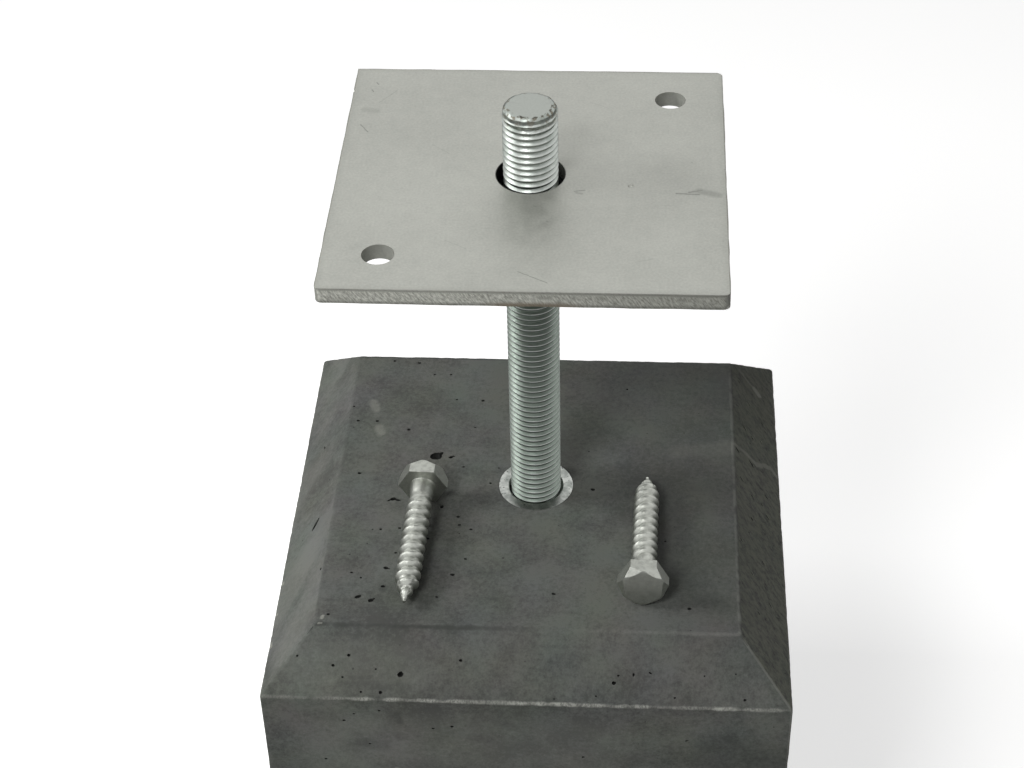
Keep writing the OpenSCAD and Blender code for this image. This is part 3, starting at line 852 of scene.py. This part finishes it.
class FOOTING_OT_block(bpy.types.Operator):
    """Model the cast block with its bevelled head, worn arrises, air holes and socket pocket"""

    bl_idname = "footing.block"
    bl_label = "Concrete Block"

    def execute(self, context):
        values = context.scene.footing_concrete
        width = BLOCK_HIGH.x - BLOCK_LOW.x
        top = BLOCK_HIGH.z
        shoulder = top - values.bevel_drop
        block = added(
            "footing_block", bpy.ops.mesh.primitive_cube_add, size=1,
            location=(0, 0, shoulder / 2), scale=(width, width, shoulder))
        head = (width - 2 * values.bevel_run) / width
        with editing(block, "FACE"):
            select_where(lambda f: f.normal.z > 0.9)
            bpy.ops.mesh.extrude_region_move(
                TRANSFORM_OT_translate={"value": (0, 0, values.bevel_drop)})
            bpy.ops.transform.resize(value=(head, head, 1), center_override=(0, 0, top))
        with editing(block, "EDGE", "SELECT"):
            bpy.ops.mesh.bevel(offset=values.arris, segments=3, profile=0.5, affect="EDGES")
            shortest = 12 * MM
            # Level, upright and sloping edges, each with its share of the cells
            for least, most, share in ((-1, 0.1, 1), (0.9, 2, 0.22), (0.3, 0.9, 0.13)):
                select_where(
                    lambda e: e.calc_length() > shortest and least < along(e).z < most)
                bpy.ops.mesh.subdivide(number_cuts=int((values.cells - 1) * share))
        with editing(block, "VERT"):
            select_where(lambda v: self.near_arris(v.co, values))
            bpy.ops.object.vertex_group_assign_new()
        group = block.vertex_groups[0].name
        waviness = 0.18 * MM
        apply_modifier(
            block, "DISPLACE", texture=noise_texture("mould", 35 * MM), strength=waviness,
            mid_level=1.0)
        chips = noise_texture("chips", 3.5 * MM, intensity=1.3, contrast=3.0)
        apply_modifier(
            block, "DISPLACE", texture=chips, strength=values.chipping, mid_level=1.0,
            vertex_group=group)
        block.vertex_groups.clear()
        for cutter in self.cutters(values):
            combine(block, cutter, "DIFFERENCE")
        tidy_mesh(block)
        smooth(block, 35)
        finish_piece(
            block, "concrete_block", "footing", concrete_material(values))
        return {"FINISHED"}

    def near_arris(self, place, values):
        """Whether a point on the skin is close to the planes of two faces at once."""
        edge, top, run, drop = BLOCK_HIGH.x, BLOCK_HIGH.z, values.bevel_run, values.bevel_drop
        x, y, under = edge - abs(place.x), edge - abs(place.y), top - place.z
        slopes = [
            (under * run + inside * drop - run * drop) / math.hypot(run, drop)
            for inside in (x, y)]
        nearest, second = sorted((x, y, under, place.z, *slopes))[:2]
        return nearest + second < 1.2 * values.arris

    def cutters(self, values):
        """What is hollow: the socket's pocket with the bar's bed, and the air holes. Holes that
        overlap are in separate meshes, because a cutter must not run through itself."""
        top = BLOCK_HIGH.z
        slope = values.bevel_drop / values.bevel_run
        pocket = added(
            "pocket", bpy.ops.mesh.primitive_cylinder_add, vertices=96,
            radius=SOCKET_HIGH.x + SLACK, depth=top - SOCKET_LOW.z + MM,
            location=(0, 0, (top + SOCKET_LOW.z + MM) / 2))
        combine(pocket, bar_shaped("bed", BAR_HIGH.x - BAR_LOW.x), "UNION")
        edge = BLOCK_HIGH.x
        rim = edge - values.bevel_run
        first = [((x, y, top * 1000), (0, 0, 1), *rest) for x, y, *rest in TOP_HOLES]
        for x, y, *rest in BEVEL_HOLES:
            way = Vector((math.copysign(1, x), 0)) if abs(x) > abs(y) else (
                Vector((0, math.copysign(1, y))))
            beyond = max(abs(x), abs(y)) * MM - rim
            first.append(
                ((x, y, (top - beyond * slope) * 1000), (way.x * slope, way.y * slope, 1), *rest))
        first += [
            ((x, -edge * 1000, top * 1000 - deep), (0, -1, 0), *rest)
            for x, deep, *rest in SIDE_HOLES]
        first += self.scattered()
        joined = [((x, y, top * 1000), (0, 0, 1), *rest) for x, y, *rest in JOINED_HOLES]
        return [pocket, self.air_holes(first), self.air_holes(joined)]

    def scattered(self):
        """Air holes on the left, right and back side, each well clear of the others."""
        chance = random.Random(9)
        edge = BLOCK_HIGH.x * 1000
        on_each_side, apart = 16, 6
        holes = []
        for way in ((-1, 0), (1, 0), (0, 1)):
            taken = []
            while len(taken) < on_each_side:
                place = Vector((chance.uniform(-0.9, 0.9) * edge, chance.uniform(8, 168)))
                if all((place - other).length > apart for other in taken):
                    taken.append(place)
                    size = chance.uniform(1.0, 2.4)
                    holes.append((
                        (way[0] * edge + way[1] * place.x, way[1] * edge + way[0] * place.x,
                         place.y), (*way, 0), size, 0.75 * size, chance.uniform(0, 90)))
        return holes

    def air_holes(self, holes):
        """One mesh of rough balls. Each hole is a place on the skin in mm, the skin's normal
        there, length, width, and turn in the skin."""
        balls = []
        for number, (place, normal, long, wide, turn) in enumerate(holes):
            normal = Vector(normal).normalized()
            level = Vector((0, 0, 1)).cross(normal)
            level = level.normalized() if level.length > 0.1 else Vector((1, 0, 0))
            turn = math.radians(turn)
            long_way = math.cos(turn) * level + math.sin(turn) * normal.cross(level)
            frame_of_hole = Matrix((long_way, normal.cross(long_way), normal)).transposed()
            deep = wide if wide > 3 else 2.1 * wide
            ball = added(
                "air_hole", bpy.ops.mesh.primitive_ico_sphere_add,
                subdivisions=3 if long > 2.4 else 2, radius=0.5 * MM,
                location=Vector(place) * MM - 0.1 * wide * MM * normal,
                rotation=frame_of_hole.to_euler(), scale=(long, wide, deep))
            with editing(ball, "VERT", "SELECT"):
                bpy.ops.transform.vertex_random(offset=0.07 * wide * MM, uniform=1, seed=number)
            balls.append(ball)
        activate(balls[0])
        for ball in balls:
            ball.select_set(True)
        bpy.ops.object.join()
        return balls[0]


class FOOTING_OT_socket(bpy.types.Operator):
    """Model the turned socket that is cast into the block"""

    bl_idname = "footing.socket"
    bl_label = "Threaded Socket"

    def execute(self, context):
        top, foot, r = SOCKET_HIGH.z, SOCKET_LOW.z, SOCKET_HIGH.x
        hole, mouth = THREAD_BORE, 11 * MM
        bored, drill_point = top - 68 * MM, top - 74.05 * MM
        socket = turned("footing_socket", (
            (0, foot), (r - 0.4 * MM, foot), (r, foot + 0.4 * MM), (r, top - 0.35 * MM),
            (r - 0.12 * MM, top - 0.1 * MM), (r - 0.4 * MM, top), (mouth + 0.3 * MM, top),
            (mouth + 0.06 * MM, top - 0.08 * MM), (mouth, top - 0.25 * MM),
            (hole, top - 1.5 * MM), (hole, bored), (0, drill_point)), 96)
        combine(socket, bar_shaped("cross_hole", 4 * r), "DIFFERENCE")
        smooth(socket, 40)
        finish_piece(socket, "threaded_socket", "footing", socket_material())
        return {"FINISHED"}


class FOOTING_OT_rod(bpy.types.Operator):
    """Model the threaded rod, its thread wound turn by turn and chamfered at both ends"""

    bl_idname = "footing.rod"
    bl_label = "Threaded Rod"

    def execute(self, context):
        values = context.scene.footing_rod
        pitch = values.pitch
        crest = ROD_HIGH.x - 0.02 * MM
        root = crest - values.thread_depth
        low, high = ROD_LOW.z, ROD_HIGH.z
        profile = [
            (root, 0), (root, 0.11), (root + 0.09 * MM, 0.15), (crest - 0.12 * MM, 0.41),
            (crest, 0.46), (crest, 0.54), (crest - 0.12 * MM, 0.59), (root + 0.09 * MM, 0.85),
            (root, 0.89), (root, 1)]
        turns = int((high - low) / pitch) + 3
        rod = wound(
            "footing_rod", [(r, low - 1.5 * pitch + share * pitch) for r, share in profile],
            pitch, turns, values.steps)
        # The end's grooves are clogged
        clogged, fill = high - 9 * MM, root + 0.4 * MM
        filler = turned("groove_filler", (
            (0, clogged), (root - 0.05 * MM, clogged), (fill, high - 3 * MM),
            (fill, high + MM), (0, high + MM)), 96)
        combine(rod, filler, "UNION")
        reach = crest + SLACK
        envelope = turned("rod_envelope", (
            (0, low), (reach - 2 * MM, low), (reach, low + 2 * MM), (reach, high - 2.0 * MM),
            (reach - 1.0 * MM, high - 0.55 * MM), (reach - 1.9 * MM, high - 0.08 * MM),
            (reach - 2.6 * MM, high), (0, high)), 96)
        combine(rod, envelope, "INTERSECT")
        tidy_mesh(rod)
        with editing(rod, "VERT"):
            select_where(lambda v: v.co.z > high - 5.5 * MM)
            bpy.ops.object.vertex_group_assign_new()
        apply_modifier(
            rod, "DISPLACE", texture=noise_texture("knocks", 2.4 * MM, intensity=1.2, contrast=2),
            strength=0.32 * MM, mid_level=1.0, vertex_group=rod.vertex_groups[0].name)
        rod.vertex_groups.clear()
        smooth(rod, 50)
        finish_piece(rod, "threaded_rod", "footing", rod_material(values))
        return {"FINISHED"}


class FOOTING_OT_nut_and_washer(bpy.types.Operator):
    """Model the levelling nut and its washer under the plate"""

    bl_idname = "footing.nut_and_washer"
    bl_label = "Nut and Washer"

    def execute(self, context):
        values = context.scene.footing_rod
        material = nut_material(values)
        low, high = NUT_LOW.z, NUT_HIGH.z
        hole = THREAD_BORE
        across_flats = 30 * MM
        nut = hexagon("footing_nut", across_flats, low, high)
        face, corner = 14.2 * MM, 18 * MM
        drop = (corner - face) * math.tan(math.radians(30))
        disc = turned("nut_disc", (
            (0, low), (face, low), (corner, low + drop), (corner, high - drop), (face, high),
            (0, high)), 96)
        combine(nut, disc, "INTERSECT")
        bore = turned("nut_bore", (
            (0, low - MM), (hole + 2.2 * MM, low - MM), (hole, low + 1.2 * MM),
            (hole, high - 1.2 * MM), (hole + 2.2 * MM, high + MM), (0, high + MM)), 64)
        combine(nut, bore, "DIFFERENCE")
        soften(nut, 0.25 * MM, 2, 25)
        smooth(nut, 35)
        finish_piece(nut, "levelling_nut", "nut", material)
        low, high = WASHER_LOW.z, WASHER_HIGH.z
        rim, hole = WASHER_HIGH.x, 10.5 * MM
        washer = turned("footing_washer", (
            (hole, low + 0.2 * MM), (hole + 0.2 * MM, low), (rim - 0.3 * MM, low),
            (rim, low + 0.3 * MM), (rim, high - 0.5 * MM), (rim - 0.15 * MM, high - 0.15 * MM),
            (rim - 0.5 * MM, high), (hole + 0.4 * MM, high), (hole, high - 0.3 * MM),
            (hole, low + 0.2 * MM)), 96)
        smooth(washer, 35)
        finish_piece(washer, "levelling_washer", "washer", material)
        return {"FINISHED"}


class FOOTING_OT_plate(bpy.types.Operator):
    """Model the post plate with its sheared rim, rounded corners and drilled holes"""

    bl_idname = "footing.plate"
    bl_label = "Post Plate"

    def execute(self, context):
        values = context.scene.footing_plate
        width = PLATE_HIGH.x - PLATE_LOW.x
        low, high = PLATE_LOW.z, PLATE_HIGH.z
        plate = added(
            "footing_plate", bpy.ops.mesh.primitive_cube_add, size=1,
            location=(0, 0, (low + high) / 2), scale=(width, width, high - low))
        with editing(plate, "EDGE"):
            select_where(
                lambda e: along(e).z > 0.9 and not (middle(e).x < 0 < middle(e).y))
            bpy.ops.mesh.bevel(offset=values.corner, segments=5, affect="EDGES")
            select_where(lambda e: e.calc_length() > width / 2)
            bpy.ops.mesh.subdivide(number_cuts=48)
            bpy.ops.mesh.select_all(action="SELECT")
            # A little smaller, so that its uneven sides stay within its size
            shrunk = 1 - 0.3 * MM / width
            bpy.ops.transform.resize(value=(shrunk, shrunk, 1), center_override=(0, 0, 0))
        apply_modifier(
            plate, "DISPLACE", texture=noise_texture("shear", 11 * MM, cloud_type="COLOR"),
            direction="RGB_TO_XYZ", strength=0.55 * MM, mid_level=0.5)
        with editing(plate, "VERT"):
            for level in (low, high):
                select_where(lambda v: abs(v.co.z - level) < MM)
                bpy.ops.transform.resize(value=(1, 1, 0), center_override=(0, 0, level))
        for *place, r in PLATE_KNOCKS:
            knock = added(
                "knock", bpy.ops.mesh.primitive_ico_sphere_add, subdivisions=3, radius=r * MM,
                location=Vector(place) * MM + Vector((0, 0, low)))
            combine(plate, knock, "DIFFERENCE")
        for x, y, r in PLATE_DRILLS:
            drill = added(
                "drill", bpy.ops.mesh.primitive_cylinder_add, vertices=96, radius=r * MM,
                depth=3 * (high - low), location=(x * MM, y * MM, low))
            combine(plate, drill, "DIFFERENCE")
        soften(plate, values.rim, 3, 40)
        smooth(plate, 35)
        finish_piece(plate, "post_plate", "plate", plate_material(values))
        return {"FINISHED"}


class FOOTING_OT_screws(bpy.types.Operator):
    """Model one coach screw, and lay it and its copy on the block"""

    bl_idname = "footing.screws"
    bl_label = "Coach Screws"

    across_flats = 17 * MM
    head_height = 7 * MM
    length = 60 * MM
    neck = 5 * MM
    tip = 10 * MM
    outer = 5 * MM

    def execute(self, context):
        values = context.scene.footing_screw
        material = screw_material(values)
        screw = self.model(values)
        copy = screw.copy()
        copy.data = screw.data.copy()
        context.collection.objects.link(copy)
        lie = math.atan((self.across_flats / 2 - self.outer) / (self.length - self.tip))
        for obj, (name, x, y, turn) in zip((screw, copy), SCREW_PLACES):
            activate(obj)
            obj.name = "footing_screw_" + name
            obj.data.name = obj.name
            obj.matrix_world = (
                Matrix.Translation((x * MM, y * MM, BLOCK_HIGH.z + SLACK))
                @ Matrix.Rotation(math.radians(turn), 4, "Z")
                @ Matrix.Translation((0, 0, self.across_flats / 2 * math.cos(lie)))
                @ Matrix.Rotation(math.pi / 2 - lie, 4, "X"))
            bpy.ops.object.transform_apply(location=True, rotation=True, scale=True)
            finish_piece(obj, "coach_screw_" + name, "footing", material)
        return {"FINISHED"}

    def model(self, values):
        """The screw upright, its head above z = 0."""
        pitch, core = values.pitch, values.core / 2
        ridge = self.outer - 0.04 * MM - core
        # A rounded ridge, over four tenths of the pitch to either side of its middle
        half = 0.4
        profile = [(core, 0)]
        for share in (0.1, 0.14, 0.2, 0.28, 0.36, 0.44, 0.5, 0.56, 0.64, 0.72, 0.8, 0.86, 0.9):
            rise = math.cos(math.pi / 2 * (share - 0.5) / half) ** 0.9 if 0.1 < share < 0.9 else 0
            profile.append((core + ridge * rise, share))
        profile.append((core, 1))
        turns = math.ceil((self.length - self.neck) / pitch) + 1
        screw = wound(
            "footing_screw", [(r, share * pitch - self.length - pitch) for r, share in profile],
            pitch, turns, 32)
        envelope = turned("shank_envelope", (
            (0, -self.length), (self.outer, -self.length), (self.outer, -self.neck - 8 * MM),
            (core + 0.25 * ridge, -self.neck), (0, -self.neck)), 48)
        combine(screw, envelope, "INTERSECT")
        with editing(screw, "VERT"):
            rows = sorted({
                round(v.co.z / MM, 3) for v in screw.data.vertices
                if v.co.z < self.tip - self.length})
            for row in rows:
                share = max(0.1, (row * MM + self.length) / self.tip) ** 0.8
                select_where(lambda v: abs(v.co.z / MM - row) < 0.0006)
                bpy.ops.transform.resize(
                    value=(share, share, 1), center_override=(0, 0, row * MM))
        neck = turned("neck", (
            (0, -self.neck - 2.4 * MM), (core + 0.1 * MM, -self.neck - 2.4 * MM),
            (self.outer - 0.55 * MM, -self.neck - 0.4 * MM), (self.outer - 0.3 * MM, -3 * MM),
            (self.outer - 0.15 * MM, -0.7 * MM), (self.outer + 0.25 * MM, 0.1 * MM),
            (0, 0.1 * MM)), 48)
        combine(screw, neck, "UNION")
        end = self.head_height
        head = hexagon("head", self.across_flats, 0, end + MM)
        corner = self.across_flats / 2 / math.cos(math.pi / 6) + 0.5 * MM
        # Six flats across the corners bring each side to a point, a cone rounds the end
        wide = 1.2 * corner
        for sides, face, slope, turn, above in (
                (6, 8.4 * MM, 43, 30, 0.9 * MM), (96, 7.2 * MM, 20, 0, 0)):
            rise = math.tan(math.radians(slope))
            disc = turned("head_disc", (
                (0, -MM), (wide, -MM), (wide, end - (wide - face) * rise),
                (face - above / rise, end + above), (0, end + above)), sides)
            with editing(disc, "VERT", "SELECT"):
                bpy.ops.transform.rotate(
                    value=math.radians(turn), orient_axis="Z", center_override=(0, 0, 0))
            combine(head, disc, "INTERSECT")
        soften(head, 0.35 * MM, 2, 25)
        combine(screw, head, "UNION")
        smooth(screw, 45)
        return screw


class FOOTING_OT_cross_bar(bpy.types.Operator):
    """Finish the cross bar, whose CAD solid stays as it is, inside the block"""

    bl_idname = "footing.cross_bar"
    bl_label = "Cross Bar"

    def execute(self, context):
        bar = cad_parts["socket_cross_bar"]
        bar.data.materials.clear()
        bar.data.materials.append(bar_material())
        return {"FINISHED"}


class FOOTING_OT_stage(bpy.types.Operator):
    """Set the floor, the light and the camera"""

    bl_idname = "footing.stage"
    bl_label = "Stage"

    def execute(self, context):
        values = context.scene.footing_stage
        self.add_floor(values)
        self.add_light(values)
        self.add_camera(values)
        context.scene.view_settings.view_transform = "Standard"
        return {"FINISHED"}

    def add_floor(self, values):
        floor = added(
            "stage_floor", bpy.ops.mesh.primitive_plane_add, size=12, location=(0, 0, 0))
        material = bpy.data.materials.new("Paper, matt white")
        tree = emptied(material)
        node = partial(add_node, tree)
        seen, rays = self.mirror_rays(node)
        rays = node("Math", {0: seen["Is Camera Ray"], 1: rays}, operation="MAXIMUM")
        # Metal sees a dimmer floor
        dim = seen["Is Glossy Ray"]
        colour = coated(tree, linear(values.floor), (dim, "#8a8a88"))
        paper = node("BsdfDiffuse", {"Color": colour})
        glow = node("Mix", {0: dim, 2: 0.68, 3: 0.08})
        glow = node("Emission", {"Color": (1, 1, 1, 1), "Strength": glow})
        both = node("AddShader", {0: paper, 1: glow})
        shader = node("MixShader", {0: rays, 1: paper, 2: both})
        node("OutputMaterial", {"Surface": shader})
        floor.data.materials.append(material)

    def mirror_rays(self, node):
        """What kind of ray it is, and whether a shiny or clear surface sent it."""
        seen = node("LightPath").node.outputs
        return seen, node(
            "Math", {0: seen["Is Glossy Ray"], 1: seen["Is Transmission Ray"]},
            operation="MAXIMUM")

    def add_light(self, values):
        world = bpy.data.worlds.new("Pale studio")
        bpy.context.scene.world = world
        tree = emptied(world)
        node = partial(add_node, tree)
        seen, rays = self.mirror_rays(node)
        # Metal sees a white room that gets darker towards the front and the ground
        way = node("SeparateXYZ", {0: node("TexCoord")}).node.outputs
        room = node("MapRange", {0: way[1], 1: -0.5, 2: 0.6, 3: values.front, 4: 1.0}, **SOFT)
        level = node("MapRange", {0: way[2], 1: -0.05, 2: 0.3, 3: 0.3, 4: 1.0}, **SOFT)
        room = product(tree, room, level)
        strength = node("Mix", {0: rays, 2: values.ambient, 3: room})
        strength = node("Mix", {0: seen["Is Camera Ray"], 2: strength, 3: 1.0})
        shine = node("Background", {"Color": (1, 1, 1, 1), "Strength": strength})
        node("OutputWorld", {"Surface": shine})
        middle_of_scene = Vector((0, 0, 0.25))
        for name, place, size, power, seen_by in (
                ("window", (-0.69, 0, 0.65), 0.22, values.window, (True, False)),
                ("front", (-0.566, -0.98, 1.381), 0.5, values.lamp, (True, False)),
                ("left_glint", (-1.298, 0.182, 1.168), 0.8, 2.6 * values.glint, (False, True)),
                ("front_glint", (-0.363, -0.629, 1.676), 0.5, 1.7 * values.glint, (False, True))):
            bpy.ops.object.select_all(action="DESELECT")
            bpy.ops.object.light_add(type="AREA", location=place)
            lamp = bpy.context.object
            lamp.name = "lamp_" + name
            lamp.data.size = size
            lamp.data.energy = power
            lamp.visible_diffuse, lamp.visible_glossy = seen_by
            aim = middle_of_scene - Vector(place)
            lamp.rotation_euler = aim.to_track_quat("-Z", "Y").to_euler()

    def add_camera(self, values):
        heading, tilt, roll = values.heading, values.tilt, values.roll
        ahead = Vector((
            -math.sin(heading) * math.cos(tilt), math.cos(heading) * math.cos(tilt),
            -math.sin(tilt)))
        level = Vector((math.cos(heading), math.sin(heading), 0))
        above = level.cross(ahead)
        right = math.cos(roll) * level + math.sin(roll) * above
        up = -math.sin(roll) * level + math.cos(roll) * above
        bpy.ops.object.select_all(action="DESELECT")
        bpy.ops.object.camera_add(location=values.eye)
        camera = bpy.context.object
        camera.name = "camera"
        camera.rotation_euler = Matrix((right, up, -ahead)).transposed().to_euler()
        camera.data.lens = values.lens
        camera.data.sensor_width = SENSOR_WIDTH
        camera.data.clip_start = 0.01
        bpy.context.scene.camera = camera


# ---- Panel and registration ----


STEPS = (
    FOOTING_OT_block, FOOTING_OT_socket, FOOTING_OT_cross_bar, FOOTING_OT_rod,
    FOOTING_OT_nut_and_washer, FOOTING_OT_plate, FOOTING_OT_screws, FOOTING_OT_stage)
VALUES = {
    "footing_concrete": FootingConcreteValues,
    "footing_rod": FootingRodValues,
    "footing_plate": FootingPlateValues,
    "footing_screw": FootingScrewValues,
    "footing_stage": FootingStageValues,
}


class FOOTING_PT_panel(bpy.types.Panel):
    """Every step of the footing, with the values it reads"""

    bl_idname = "FOOTING_PT_panel"
    bl_label = "Post Footing"
    bl_space_type = "VIEW_3D"
    bl_region_type = "UI"
    bl_category = "Footing"

    def draw(self, context):
        for step in STEPS:
            self.layout.operator(step.bl_idname)
        for name, group in VALUES.items():
            box = self.layout.box()
            for value in group.__annotations__:
                box.prop(getattr(context.scene, name), value)


def register():
    for group in VALUES.values():
        bpy.utils.register_class(group)
    for name, group in VALUES.items():
        setattr(bpy.types.Scene, name, PointerProperty(type=group))
    for cls in (*STEPS, FOOTING_PT_panel):
        bpy.utils.register_class(cls)


def unregister():
    for cls in reversed((*STEPS, FOOTING_PT_panel)):
        bpy.utils.unregister_class(cls)
    for name, group in VALUES.items():
        delattr(bpy.types.Scene, name)
        bpy.utils.unregister_class(group)


def main():
    register()
    for step in STEPS:
        group, name = step.bl_idname.split(".")
        getattr(getattr(bpy.ops, group), name)()


if __name__ == "__main__":
    main()
